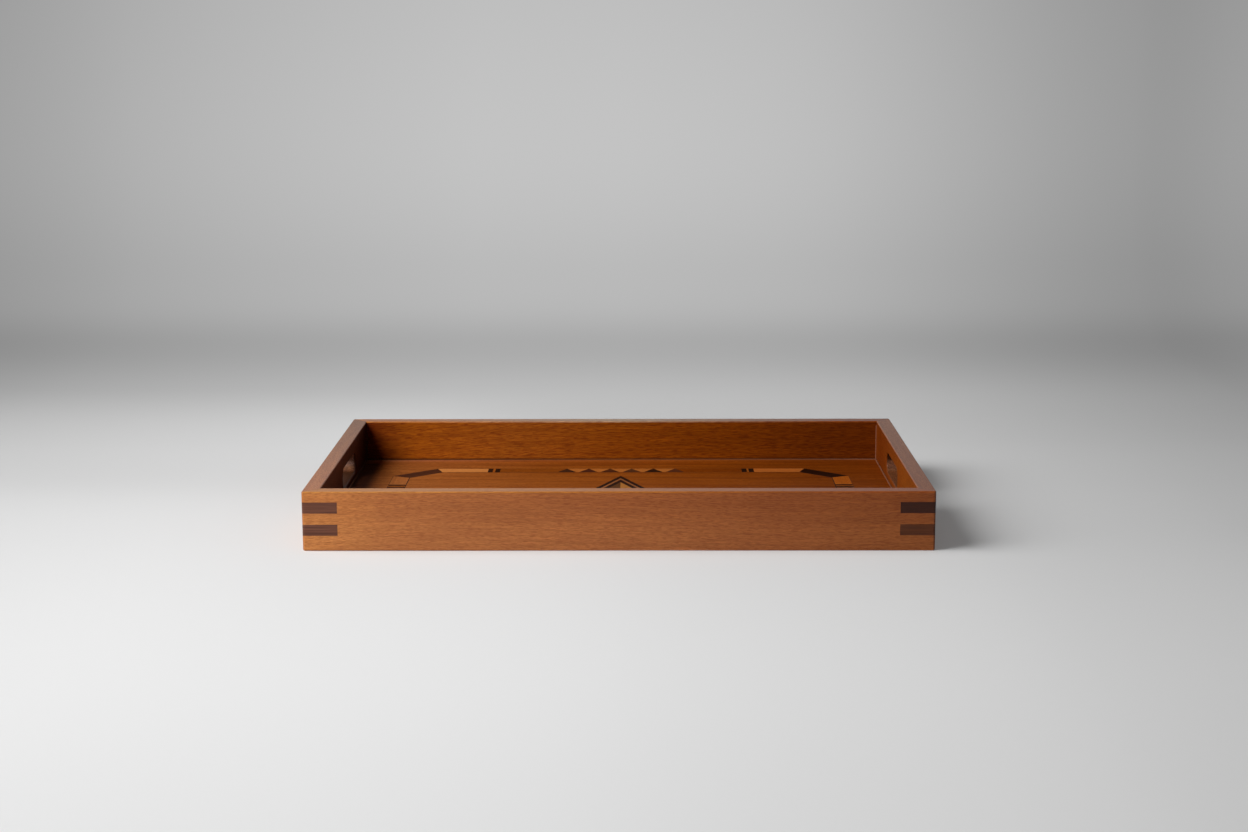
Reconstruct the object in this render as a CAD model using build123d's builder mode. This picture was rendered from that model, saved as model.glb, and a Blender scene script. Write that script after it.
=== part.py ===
"""A serving tray: a keyed and mitred frame, grooved for a plywood floor laid with cut veneers.

Sizes are in millimetres. The origin is the middle of the tray's length and width, on the surface
that it stands on. +X runs along its length, +Y to the back wall and +Z up.
"""

import os
from math import atan2, cos, hypot, pi, radians, sin, tan

from build123d import *

os.makedirs("parts", exist_ok=True)

# The frame
tray_length = 500.0
tray_width = 310.0
wall_height = 48.0
wall_thickness = 13.2
corner_round = 2.0
rim_round = 0.9
foot_round = 1.3
inner_round = 0.8

# The floor panel and the groove that holds it
groove_rise = 6.0
groove_depth = 6.0
panel_edge_gap = 0.5
backing_thickness = 0.6
core_thickness = 4.4
veneer_thickness = 0.8

# The keys across the mitres, turned to reach further along the front and back than along the ends.
# key_skin is the wood left behind a key at the inner corner
key_height = 9.0
key_turn = radians(40.9)
key_skin = 0.3
key_floor_gap = 0.6
upper_key_drop_share = 0.238

# The hand slots in the end walls, their middles set back from the tray's middle
hand_slot_length = 80.0
hand_slot_height = 17.5
hand_slot_round = 1.5
hand_slot_setback = 24.0
hand_slot_rise_share = 0.403
round_limit_share = 0.45

# The band: a long octagon of veneer strips between two fine lines
end_margin = 32.4
side_margin = 40.1
corner_run = 37.4
corner_rise = 31.4
outer_line_width = 0.5
strip_width = 14.8
inner_line_width = 0.9
light_strip_share = 0.277
light_block_share = 0.506
bar_width = 4.6
side_slip_width = 1.9
end_slip_width = 3.2

# The sawtooth in the middle of each long side
tooth_count = 6
tooth_pitch = 19.6
tooth_gap = 2.6
tooth_tip = 0.4

# The lozenge in the middle of the floor
lozenge_width = 60.2
lozenge_margin = 15.0
lozenge_border_width = 3.9
lozenge_light_width = 2.4
lozenge_inner_width = 4.1

# How far a cutter runs past what it cuts
overrun = 2.0

panel_thickness = backing_thickness + core_thickness + veneer_thickness
floor_top = groove_rise + panel_thickness
free_height = wall_height - floor_top
inner_length = tray_length - 2 * wall_thickness
inner_width = tray_width - 2 * wall_thickness


def write_piece(piece, name):
    """Label a finished piece and write it to a file of its own."""
    piece.part.label = name
    export_step(piece.part, f"parts/{name}.step")


# The block that the outer edges of the glued frame, keys and all, are rounded over to
with BuildPart() as eased_block:
    with BuildSketch():
        RectangleRounded(tray_length, tray_width, corner_round)
    extrude(amount=wall_height)
    fillet(eased_block.faces().sort_by(Axis.Z)[-1].edges(), rim_round)
    fillet(eased_block.faces().sort_by(Axis.Z)[0].edges(), foot_round)


# The keys, glued in overlong and then trimmed flush with the walls. Each has a long leg in the
# front or back wall and a short leg in the end wall
key_reach = wall_thickness * (sin(key_turn) + cos(key_turn)) - key_skin
key_long_leg = key_reach / sin(key_turn)
key_short_leg = key_reach / cos(key_turn)
key_rises = {
    "lower": floor_top + key_floor_gap,
    "upper": wall_height - upper_key_drop_share * free_height - key_height,
}
corners = {
    "front_left": (-1, -1),
    "front_right": (1, -1),
    "back_right": (1, 1),
    "back_left": (-1, 1),
}


def flip(outline, signs):
    """The outline carried from the back right quarter to another one."""
    return [(x * signs[0], y * signs[1]) for x, y in outline]


def build_key_blank(signs, rise):
    """An overlong key, as glued into its slot. Its long edge lies across the mitre."""
    outline = [
        (tray_length / 2 + overrun, tray_width / 2 + overrun),
        (tray_length / 2 - key_long_leg - overrun / tan(key_turn), tray_width / 2 + overrun),
        (tray_length / 2 + overrun, tray_width / 2 - key_short_leg - overrun * tan(key_turn)),
    ]
    with BuildPart() as blank:
        with BuildSketch(Plane.XY.offset(rise)):
            with BuildLine():
                Polyline(*flip(outline, signs), close=True)
            make_face()
        extrude(amount=key_height)
    return blank.part


key_blanks = {}
for corner_name, signs in corners.items():
    for level_name, rise in key_rises.items():
        key_blanks[f"{corner_name}_{level_name}_key"] = build_key_blank(signs, rise)

for key_name, blank in key_blanks.items():
    with BuildPart() as key:
        add(blank)
        add(eased_block.part, mode=Mode.INTERSECT)
    write_piece(key, key_name)


# The walls
hand_slot_rise = floor_top + hand_slot_rise_share * free_height
wood_below_slot = hand_slot_rise - hand_slot_height / 2 - floor_top
wood_above_slot = wall_height - hand_slot_rise - hand_slot_height / 2
slot_round_limit = round_limit_share * min(wood_below_slot, wood_above_slot, wall_thickness)


def build_wall(name, turn, run, reach, slot_place=None):
    """A wall of length run, its outer face at reach from the middle, turned about Z to its side.

    An end wall has a hand slot, at slot_place along its length.
    """
    side = Plane.XY.rotated((0, 0, turn))
    stock_end = Plane(
        side.from_local_coords((-run / 2, -reach, 0)), x_dir=side.y_dir, z_dir=side.x_dir
    )
    outer_face = Plane(
        side.from_local_coords((0, -reach, 0)), x_dir=side.x_dir, z_dir=-side.y_dir
    )
    mitre_depth = wall_thickness + overrun
    with BuildPart() as wall:
        # The grooved stock
        with BuildSketch(stock_end) as profile:
            Rectangle(wall_thickness, wall_height, align=Align.MIN)
            fillet(profile.vertices().group_by(Axis.X)[-1], inner_round)
            with Locations((wall_thickness - groove_depth, groove_rise)):
                Rectangle(
                    groove_depth + overrun, panel_thickness, align=Align.MIN, mode=Mode.SUBTRACT
                )
        extrude(amount=run)
        # The mitred ends
        with BuildSketch(side):
            with BuildLine():
                Polyline(
                    (-run / 2, -reach),
                    (run / 2, -reach),
                    (run / 2 - mitre_depth, mitre_depth - reach),
                    (mitre_depth - run / 2, mitre_depth - reach),
                    close=True,
                )
            make_face()
        extrude(amount=wall_height, mode=Mode.INTERSECT)
        # The key slots, and the edges rounded over once the frame is glued
        for blank in key_blanks.values():
            add(blank, mode=Mode.SUBTRACT)
        add(eased_block.part, mode=Mode.INTERSECT)
        if slot_place is not None:
            with BuildSketch(outer_face):
                with Locations((slot_place, hand_slot_rise)):
                    SlotOverall(hand_slot_length, hand_slot_height)
            extrude(amount=wall_thickness + overrun, both=True, mode=Mode.SUBTRACT)
            slotted_faces = wall.faces().filter_by(outer_face).filter_by(lambda f: f.inner_wires())
            mouth_edges = [edge for f in slotted_faces for edge in f.inner_wires().edges()]
            fillet(mouth_edges, min(hand_slot_round, slot_round_limit))
    write_piece(wall, name)


build_wall("front_wall", 0, tray_length, tray_width / 2)
build_wall("right_end", 90, tray_width, tray_length / 2, slot_place=hand_slot_setback)
build_wall("back_wall", 180, tray_length, tray_width / 2)
build_wall("left_end", 270, tray_width, tray_length / 2, slot_place=-hand_slot_setback)


# The plywood core and the backing veneer under it, held in the groove
panel_inset = wall_thickness - groove_depth + panel_edge_gap
panel_length = tray_length - 2 * panel_inset
panel_width = tray_width - 2 * panel_inset

with BuildPart() as backing:
    with BuildSketch(Plane.XY.offset(groove_rise)):
        Rectangle(panel_length, panel_width)
    extrude(amount=backing_thickness)
write_piece(backing, "backing_veneer")

with BuildPart() as core:
    with BuildSketch(Plane.XY.offset(groove_rise + backing_thickness)):
        Rectangle(panel_length, panel_width)
    extrude(amount=core_thickness)
write_piece(core, "floor_core")


# The marquetry. Insets are measured square to the band's outer edge, towards the middle
core_top = Plane.XY.offset(floor_top - veneer_thickness)


def lay_veneer(name, outlines, openings=()):
    """Cut pieces of veneer to their outlines, with any openings, and lay them on the core."""
    with BuildPart() as veneer:
        with BuildSketch(core_top):
            for outline in outlines:
                with BuildLine():
                    Polyline(*outline, close=True)
                make_face()
            for opening in openings:
                with BuildLine():
                    Polyline(*opening, close=True)
                make_face(mode=Mode.SUBTRACT)
        extrude(amount=veneer_thickness)
    write_piece(veneer, name)


# The band's corners
band_length = inner_length - 2 * end_margin
band_width = inner_width - 2 * side_margin
slant = atan2(corner_rise, corner_run)
strip_outer = outer_line_width
strip_inner = strip_outer + strip_width
band_inner = strip_inner + inner_line_width


def long_corner(inset):
    """Where a long side of the band meets a diagonal, in the back right quarter."""
    along = band_length / 2 - corner_run - inset * tan(slant / 2)
    return (along, band_width / 2 - inset)


def short_corner(inset):
    """Where a short side of the band meets a diagonal, in the back right quarter."""
    along = band_width / 2 - corner_rise - inset * tan((pi / 2 - slant) / 2)
    return (band_length / 2 - inset, along)


def octagon(inset):
    """The whole octagon at an inset, corner by corner."""
    outline = []
    for signs in corners.values():
        ends = flip([long_corner(inset), short_corner(inset)], signs)
        turned_back = signs[0] * signs[1] > 0
        outline += ends[::-1] if turned_back else ends
    return outline


def long_side(outer, inner):
    """A strip along the back long side, between two insets, mitred at both ends."""
    end = [long_corner(outer), long_corner(inner)]
    return end + flip(end[::-1], (-1, 1))


def short_side(outer, inner):
    """A strip along the right short side, between two insets, mitred at both ends."""
    end = [short_corner(outer), short_corner(inner)]
    return end + flip(end[::-1], (1, -1))


def diagonal(outer, inner):
    """A strip along the back right diagonal, between two insets, mitred at both ends."""
    return [long_corner(outer), short_corner(outer), short_corner(inner), long_corner(inner)]


# The fine lines along the band's outer and inner edges
line_insets = {"outer_line": (0, strip_outer), "inner_line": (strip_inner, band_inner)}
for line_name, (outer, inner) in line_insets.items():
    long_line = long_side(outer, inner)
    short_line = short_side(outer, inner)
    lay_veneer(f"{line_name}_long_sides", [long_line, flip(long_line, (1, -1))])
    lay_veneer(f"{line_name}_short_sides", [short_line, flip(short_line, (-1, 1))])
    corner_line = diagonal(outer, inner)
    lay_veneer(f"{line_name}_corners", [flip(corner_line, signs) for signs in corners.values()])

# Stations along the long sides and along the short sides, measured from the middle
long_edge, short_edge = band_width / 2, band_length / 2
long_half = long_corner(strip_outer)[0]
long_bars_end = long_half - light_strip_share * long_half
long_bars_start = long_bars_end - 2 * bar_width - side_slip_width
short_half = short_corner(strip_outer)[1]
short_bars_end = short_half - light_block_share * short_half
short_bars_start = short_bars_end - 2 * bar_width - end_slip_width


def across_long_side(start, end):
    """A piece as wide as the band's strips, between two stations of the back long side."""
    return [
        (start, long_edge - strip_outer),
        (end, long_edge - strip_outer),
        (end, long_edge - strip_inner),
        (start, long_edge - strip_inner),
    ]


def across_short_side(start, end):
    """A piece as wide as the band's strips, between two stations of the right short side."""
    return [
        (short_edge - strip_outer, start),
        (short_edge - strip_outer, end),
        (short_edge - strip_inner, end),
        (short_edge - strip_inner, start),
    ]


# Two bars with a slip between them stand at each end of the plain strips
def lay_bars(side_name, start, end, across):
    """The bars and slips of two opposite sides of the band."""
    bars = [across(start, start + bar_width), across(end - bar_width, end)]
    slip = across(start + bar_width, end - bar_width)
    all_signs = corners.values()
    lay_veneer(f"{side_name}_bars", [flip(bar, signs) for bar in bars for signs in all_signs])
    lay_veneer(f"{side_name}_slips", [flip(slip, signs) for signs in all_signs])


lay_bars("long_side", long_bars_start, long_bars_end, across_long_side)
lay_bars("short_side", short_bars_start, short_bars_end, across_short_side)

# The sawtooth: dark teeth point outwards, light ones fill in between them
tooth_base = tooth_pitch - tooth_gap
sawtooth_start = -(tooth_count - 1) * tooth_pitch / 2
sawtooth_places = [sawtooth_start + number * tooth_pitch for number in range(tooth_count)]
tip_level = long_edge - strip_outer
base_level = long_edge - strip_inner
dark_teeth = [
    [
        (place - tooth_base / 2, base_level),
        (place + tooth_base / 2, base_level),
        (place + tooth_tip / 2, tip_level),
        (place - tooth_tip / 2, tip_level),
    ]
    for place in sawtooth_places
]
light_teeth = [
    [
        (place + tooth_base / 2, base_level),
        (place + tooth_base / 2 + tooth_gap, base_level),
        (place + tooth_pitch - tooth_tip / 2, tip_level),
        (place + tooth_tip / 2, tip_level),
    ]
    for place in sawtooth_places[:-1]
]
for side_name, signs in {"back": (1, 1), "front": (1, -1)}.items():
    lay_veneer(f"dark_teeth_{side_name}", [flip(tooth, signs) for tooth in dark_teeth])
    lay_veneer(f"light_teeth_{side_name}", [flip(tooth, signs) for tooth in light_teeth])

# The long strips of each quarter: plain from the last tooth to the bars, then light, then the
# dark diagonal, then the light block down to the short side's bars
last_tooth = sawtooth_places[-1]
plain_strip = [
    (last_tooth + tooth_base / 2, base_level),
    (last_tooth + tooth_tip / 2, tip_level),
    (long_bars_start, tip_level),
    (long_bars_start, base_level),
]
light_strip = [
    (long_bars_end, tip_level),
    long_corner(strip_outer),
    long_corner(strip_inner),
    (long_bars_end, base_level),
]
light_block = [
    short_corner(strip_outer),
    short_corner(strip_inner),
    (short_edge - strip_inner, short_bars_end),
    (short_edge - strip_outer, short_bars_end),
]
for corner_name, signs in corners.items():
    lay_veneer(f"plain_strip_{corner_name}", [flip(plain_strip, signs)])
    lay_veneer(f"light_strip_{corner_name}", [flip(light_strip, signs)])
    lay_veneer(f"dark_diagonal_{corner_name}", [flip(diagonal(strip_outer, strip_inner), signs)])
    lay_veneer(f"light_block_{corner_name}", [flip(light_block, signs)])

end_strip = across_short_side(-short_bars_start, short_bars_start)
lay_veneer("plain_strip_right", [end_strip])
lay_veneer("plain_strip_left", [flip(end_strip, (-1, 1))])


# The lozenge, whose long points stop short of the band
lozenge_half_width = lozenge_width / 2
lozenge_half_depth = band_width / 2 - band_inner - lozenge_margin
lozenge_inner_reach = (
    lozenge_half_width * lozenge_half_depth / hypot(lozenge_half_width, lozenge_half_depth)
)


def lozenge_points(inset):
    """The lozenge's right and back points, at an inset square to its sides."""
    share_left = 1 - inset / lozenge_inner_reach
    return (lozenge_half_width * share_left, 0), (0, lozenge_half_depth * share_left)


def lozenge(inset):
    """The whole lozenge at an inset."""
    right, back = lozenge_points(inset)
    return [right, back, (-right[0], 0), (0, -back[1])]


def lay_lozenge_line(name, outer, inner):
    """Four mitred strips between two insets, in two nodes of opposite strips."""
    outer_right, outer_back = lozenge_points(outer)
    inner_right, inner_back = lozenge_points(inner)
    strip = [outer_right, outer_back, inner_back, inner_right]
    lay_veneer(f"{name}_falling", [strip, flip(strip, (-1, -1))])
    lay_veneer(f"{name}_rising", [flip(strip, (-1, 1)), flip(strip, (1, -1))])


light_inset = lozenge_border_width
inner_inset = light_inset + lozenge_light_width
heart_inset = inner_inset + lozenge_inner_width
lay_lozenge_line("lozenge_border", 0, light_inset)
lay_lozenge_line("lozenge_light_line", light_inset, inner_inset)
lay_lozenge_line("lozenge_inner_line", inner_inset, heart_inset)

heart_quarter = [(0, 0), *lozenge_points(heart_inset)]
for corner_name, signs in corners.items():
    lay_veneer(f"lozenge_heart_{corner_name}", [flip(heart_quarter, signs)])


# The field veneers, outside and inside the band
panel_outline = [
    (-panel_length / 2, -panel_width / 2),
    (panel_length / 2, -panel_width / 2),
    (panel_length / 2, panel_width / 2),
    (-panel_length / 2, panel_width / 2),
]
lay_veneer("outer_field", [panel_outline], openings=[octagon(0)])
lay_veneer("centre_field", [octagon(band_inner)], openings=[lozenge(0)])
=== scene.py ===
from math import atan2, cos, pi, radians, sin, sqrt

import bmesh
import bpy
from mathutils import Matrix, Vector


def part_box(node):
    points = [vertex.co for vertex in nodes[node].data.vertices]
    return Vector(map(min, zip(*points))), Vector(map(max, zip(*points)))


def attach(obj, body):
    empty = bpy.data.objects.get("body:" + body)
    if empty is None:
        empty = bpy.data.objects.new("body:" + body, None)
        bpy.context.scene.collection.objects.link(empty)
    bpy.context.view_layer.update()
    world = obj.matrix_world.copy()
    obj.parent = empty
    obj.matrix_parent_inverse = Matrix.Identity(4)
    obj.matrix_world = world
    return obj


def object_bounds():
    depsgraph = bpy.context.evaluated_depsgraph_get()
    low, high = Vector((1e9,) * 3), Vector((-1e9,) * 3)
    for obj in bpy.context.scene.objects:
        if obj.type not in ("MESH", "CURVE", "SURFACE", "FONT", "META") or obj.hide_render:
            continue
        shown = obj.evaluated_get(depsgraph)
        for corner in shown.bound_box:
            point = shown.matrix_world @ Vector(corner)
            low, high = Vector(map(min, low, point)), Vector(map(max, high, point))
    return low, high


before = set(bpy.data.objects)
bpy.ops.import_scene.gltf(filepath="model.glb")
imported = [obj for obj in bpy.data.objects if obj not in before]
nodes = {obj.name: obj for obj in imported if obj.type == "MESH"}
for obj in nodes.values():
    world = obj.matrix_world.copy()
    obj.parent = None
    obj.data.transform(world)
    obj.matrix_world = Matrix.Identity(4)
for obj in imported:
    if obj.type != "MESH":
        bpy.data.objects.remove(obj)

cad_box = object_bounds()
tray_low, tray_high = cad_box


# The camera stands about 1.8 m from the tray's middle, a little to the right of it, and looks
# slightly down on the front wall.
camera_place = Vector((0.0147, -1.7392, 0.4042))
camera_dip = radians(10.574)
camera_turn = radians(0.369)
camera_roll = radians(-0.134)
camera_lens = 59.52
camera_film = 36.0

camera_data = bpy.data.cameras.new("studio_camera")
camera_data.lens = camera_lens
camera_data.sensor_fit = "HORIZONTAL"
camera_data.sensor_width = camera_film
camera = bpy.data.objects.new("studio_camera", camera_data)
camera.matrix_world = (
    Matrix.Translation(camera_place)
    @ Matrix.Rotation(camera_turn, 4, "Z")
    @ Matrix.Rotation(pi / 2 - camera_dip, 4, "X")
    @ Matrix.Rotation(camera_roll, 4, "Z")
)
bpy.context.scene.collection.objects.link(camera)
bpy.context.scene.camera = camera


# The four walls are planed from one warm, straight-grained board, mitred at the corners, grooved
# for the floor and finished with a satin varnish. Their grain runs along each wall, and the varnish
# lies thicker on the rim than on the faces.
def feed(tree, value, socket):
    """Link a value to a socket, or set it there if it is a plain number or colour."""
    if isinstance(value, bpy.types.NodeSocket):
        tree.links.new(value, socket)
    else:
        socket.default_value = value


def work_out(tree, operation, *values):
    """One step of arithmetic in a node tree."""
    node = tree.nodes.new("ShaderNodeMath")
    node.operation = operation
    for value, socket in zip(values, node.inputs):
        feed(tree, value, socket)
    return node.outputs[0]


def rescale(tree, value, from_low, from_high, to_low=0.0, to_high=1.0):
    """A value carried smoothly from one range to another and held at its ends."""
    node = tree.nodes.new("ShaderNodeMapRange")
    node.interpolation_type = "SMOOTHSTEP"
    for given, socket in zip((value, from_low, from_high, to_low, to_high), node.inputs):
        feed(tree, given, socket)
    return node.outputs[0]


def mix_colours(tree, share, first, second, blend="MIX"):
    """Two colours mixed by a share of the second. A mix node has its colours at inputs 6 and 7 and
    the mixed colour at output 2."""
    node = tree.nodes.new("ShaderNodeMix")
    node.data_type = "RGBA"
    node.blend_type = blend
    for value, socket in zip((share, first, second), (node.inputs[0], *node.inputs[6:8])):
        feed(tree, value, socket)
    return node.outputs[2]


def stretch(tree, vector, scale):
    """A place scaled differently along each axis."""
    node = tree.nodes.new("ShaderNodeVectorMath")
    node.operation = "MULTIPLY"
    feed(tree, vector, node.inputs[0])
    node.inputs[1].default_value = scale
    return node.outputs[0]


def noise(tree, place, detail, roughness=0.5, scale=1.0):
    """Soft noise from 0 to 1: in space for a vector, along a line for a number."""
    node = tree.nodes.new("ShaderNodeTexNoise")
    along_line = place.type == "VALUE"
    node.noise_dimensions = "1D" if along_line else "3D"
    feed(tree, place, node.inputs["W" if along_line else "Vector"])
    node.inputs["Scale"].default_value = scale
    node.inputs["Detail"].default_value = detail
    node.inputs["Roughness"].default_value = roughness
    return node.outputs["Fac"]


def open_group(name, inputs, outputs, tree_kind="ShaderNodeTree"):
    """A node group with named inputs and outputs, and the sockets of its two end nodes."""
    tree = bpy.data.node_groups.new(name, tree_kind)
    for socket_name, (kind, value) in inputs.items():
        socket = tree.interface.new_socket(socket_name, in_out="INPUT", socket_type=kind)
        if value is not None:
            socket.default_value = value
    for socket_name, kind in outputs.items():
        tree.interface.new_socket(socket_name, in_out="OUTPUT", socket_type=kind)
    given = tree.nodes.new("NodeGroupInput").outputs
    put_out = tree.nodes.new("NodeGroupOutput").inputs
    return tree, given, put_out


def stray(tree, place, push):
    """A place pushed off its line, across the grain."""
    node = tree.nodes.new("ShaderNodeVectorMath")
    node.operation = "MULTIPLY_ADD"
    feed(tree, push, node.inputs[0])
    node.inputs[1].default_value = across_grain
    feed(tree, place, node.inputs[2])
    return node.outputs[0]


def about_middle(tree, value, reach):
    """Noise from 0 to 1 made a swing to both sides of zero."""
    return work_out(tree, "MULTIPLY", work_out(tree, "SUBTRACT", value, 0.5), reach)


def build_wood_grain():
    """Wood with its pith along X. Growth rings, soft bands, fibres and short pores all follow one
    flow, which strays slowly along the board and can sway in long waves."""
    tree, given, put_out = open_group(
        "wood_grain",
        {
            "Log Place": ("NodeSocketVector", None),
            "Early Wood": ("NodeSocketColor", (0.5, 0.25, 0.1, 1)),
            "Late Wood": ("NodeSocketColor", (0.3, 0.12, 0.05, 1)),
            "Pore": ("NodeSocketColor", (0.1, 0.04, 0.02, 1)),
            "Rings Per Metre": ("NodeSocketFloat", 260.0),
            "Wander": ("NodeSocketFloat", 0.02),
            "Sway": ("NodeSocketFloat", 0.0),
            "Figure": ("NodeSocketFloat", 0.5),
            "Fibre": ("NodeSocketFloat", 0.15),
            "Pores": ("NodeSocketFloat", 0.5),
            "Mottle": ("NodeSocketFloat", 0.1),
            "Satin": ("NodeSocketFloat", 0.42),
        },
        {
            "Colour": "NodeSocketColor",
            "Roughness": "NodeSocketFloat",
            "Height": "NodeSocketFloat",
        },
    )
    place = given["Log Place"]
    split = tree.nodes.new("ShaderNodeSeparateXYZ")
    feed(tree, place, split.inputs[0])
    wave = work_out(tree, "SINE", work_out(tree, "MULTIPLY", split.outputs["X"], 2 * pi / sway_length))
    long_bend = noise(tree, stretch(tree, place, long_bend_rate), detail=1.0)
    short_bend = noise(tree, stretch(tree, place, short_bend_rate), detail=2.0)
    push = work_out(
        tree,
        "ADD",
        work_out(tree, "MULTIPLY", about_middle(tree, long_bend, 1.0), given["Wander"]),
        work_out(tree, "MULTIPLY", about_middle(tree, short_bend, short_bend_share), given["Wander"]),
    )
    push = work_out(tree, "ADD", push, work_out(tree, "MULTIPLY", wave, given["Sway"]))
    flow = stray(tree, place, push)
    across = tree.nodes.new("ShaderNodeVectorMath")
    across.operation = "LENGTH"
    feed(tree, stretch(tree, flow, across_grain), across.inputs[0])
    radius = work_out(tree, "MULTIPLY", across.outputs["Value"], given["Rings Per Metre"])
    rings = rescale(tree, noise(tree, radius, detail=4.0, roughness=0.62), *ring_fade)
    bands = rescale(tree, noise(tree, stretch(tree, flow, band_rate), detail=2.0), *band_fade)
    late = work_out(tree, "MULTIPLY", work_out(tree, "ADD", rings, bands), 0.5)
    body = mix_colours(
        tree,
        work_out(tree, "MULTIPLY", late, given["Figure"]),
        given["Early Wood"],
        given["Late Wood"],
    )
    # Fibres and mottle lighten and darken the wood without changing its hue
    fibre = noise(tree, stretch(tree, flow, fibre_rate), detail=3.0, roughness=0.65)
    mottle = noise(tree, stretch(tree, flow, mottle_rate), detail=2.0, roughness=0.55)
    shade = work_out(
        tree,
        "ADD",
        work_out(tree, "MULTIPLY", about_middle(tree, fibre, 2.0), given["Fibre"]),
        work_out(tree, "MULTIPLY", about_middle(tree, mottle, 2.0), given["Mottle"]),
    )
    shaded = tree.nodes.new("ShaderNodeVectorMath")
    shaded.operation = "SCALE"
    feed(tree, body, shaded.inputs[0])
    feed(tree, work_out(tree, "ADD", shade, 1.0), shaded.inputs["Scale"])
    # Pores are short dashes, dull and sunk
    dashes = noise(tree, stretch(tree, flow, dash_rate), detail=1.0)
    pores = work_out(tree, "MULTIPLY", rescale(tree, dashes, *dash_fade), given["Pores"])
    feed(tree, mix_colours(tree, pores, shaded.outputs[0], given["Pore"]), put_out["Colour"])
    dull = work_out(tree, "MULTIPLY", work_out(tree, "ADD", pores, fibre), dulling)
    feed(tree, work_out(tree, "ADD", given["Satin"], dull), put_out["Roughness"])
    height = work_out(tree, "SUBTRACT", work_out(tree, "MULTIPLY", fibre, fibre_height), pores)
    feed(tree, height, put_out["Height"])
    return tree


sway_length = 0.36
# How often each mark comes in a metre, along the board and across it
long_bend_rate = (3.2, 9.0, 9.0)
short_bend_rate = (14.0, 55.0, 55.0)
band_rate = (11.0, 130.0, 130.0)
fibre_rate = (26.0, 1100.0, 1100.0)
mottle_rate = (40.0, 160.0, 160.0)
dash_rate = (240.0, 2100.0, 2100.0)
across_grain = (0, 1, 1)
short_bend_share = 0.1
# A mark fades in between these two levels of its noise
ring_fade = (0.34, 0.68)
band_fade = (0.4, 0.62)
dash_fade = (0.48, 0.60)
dulling = 0.08
fibre_height = 0.35
wood_grain = build_wood_grain()

varnish_weight = 0.25
varnish_roughness = 0.18
bare_wood_shine = 0.08
pore_depth = 0.00006
relief = 0.3


def finish_wood(
    name,
    grain_turn,
    log_place,
    squash=(1, 1, 1),
    rise=0.0,
    varnish=varnish_weight,
    shine=bare_wood_shine,
    **values,
):
    """A varnished wood. Its grain lies at grain_turn about Z and climbs by the angle rise,
    log_place says where the piece lay in the log, measured from the pith, and a squash below 1
    draws the grain out along an axis."""
    material = bpy.data.materials.new(name)
    material.use_nodes = True
    tree = material.node_tree
    shader = tree.nodes["Principled BSDF"]
    where = tree.nodes.new("ShaderNodeTexCoord")
    turn = tree.nodes.new("ShaderNodeMapping")
    turn.inputs["Rotation"].default_value = (0, rise, -grain_turn)
    turn.inputs["Location"].default_value = log_place
    turn.inputs["Scale"].default_value = squash
    grain = tree.nodes.new("ShaderNodeGroup")
    grain.node_tree = wood_grain
    bump = tree.nodes.new("ShaderNodeBump")
    bump.inputs["Strength"].default_value = relief
    bump.inputs["Distance"].default_value = pore_depth
    for key, value in values.items():
        grain.inputs[key.replace("_", " ").title()].default_value = value
    link = tree.links.new
    link(where.outputs["Object"], turn.inputs["Vector"])
    link(turn.outputs["Vector"], grain.inputs["Log Place"])
    link(grain.outputs["Colour"], shader.inputs["Base Color"])
    link(grain.outputs["Roughness"], shader.inputs["Roughness"])
    link(grain.outputs["Height"], bump.inputs["Height"])
    link(bump.outputs["Normal"], shader.inputs["Normal"])
    shader.inputs["Specular IOR Level"].default_value = shine
    shader.inputs["Coat Weight"].default_value = varnish
    shader.inputs["Coat Roughness"].default_value = varnish_roughness
    return material


def dress(node_name, material):
    """Give a piece of the tray its finish."""
    for slot in nodes[node_name].material_slots:
        slot.material = material


def tint(material, colour):
    """Multiply a finish's colour."""
    tree = material.node_tree
    base = tree.nodes["Principled BSDF"].inputs["Base Color"]
    tree.links.new(mix_colours(tree, 1.0, base.links[0].from_socket, colour, blend="MULTIPLY"), base)


def split_place(tree):
    """X, Y and Z of a point of the tray."""
    split = tree.nodes.new("ShaderNodeSeparateXYZ")
    tree.links.new(tree.nodes["Texture Coordinate"].outputs["Object"], split.inputs[0])
    return split.outputs


def colour_ramp(tree, value, low, high, stops, interpolation="LINEAR"):
    """Colours along a range, given as (share of the range, colour)."""
    node = tree.nodes.new("ShaderNodeValToRGB")
    node.color_ramp.interpolation = interpolation
    share = work_out(tree, "DIVIDE", work_out(tree, "SUBTRACT", value, low), high - low)
    feed(tree, share, node.inputs[0])
    elements = node.color_ramp.elements
    while len(elements) < len(stops):
        elements.new(0.5)
    for element, (place, colour) in zip(elements, stops):
        element.position = place
        element.color = colour
    return node.outputs["Color"]


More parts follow.
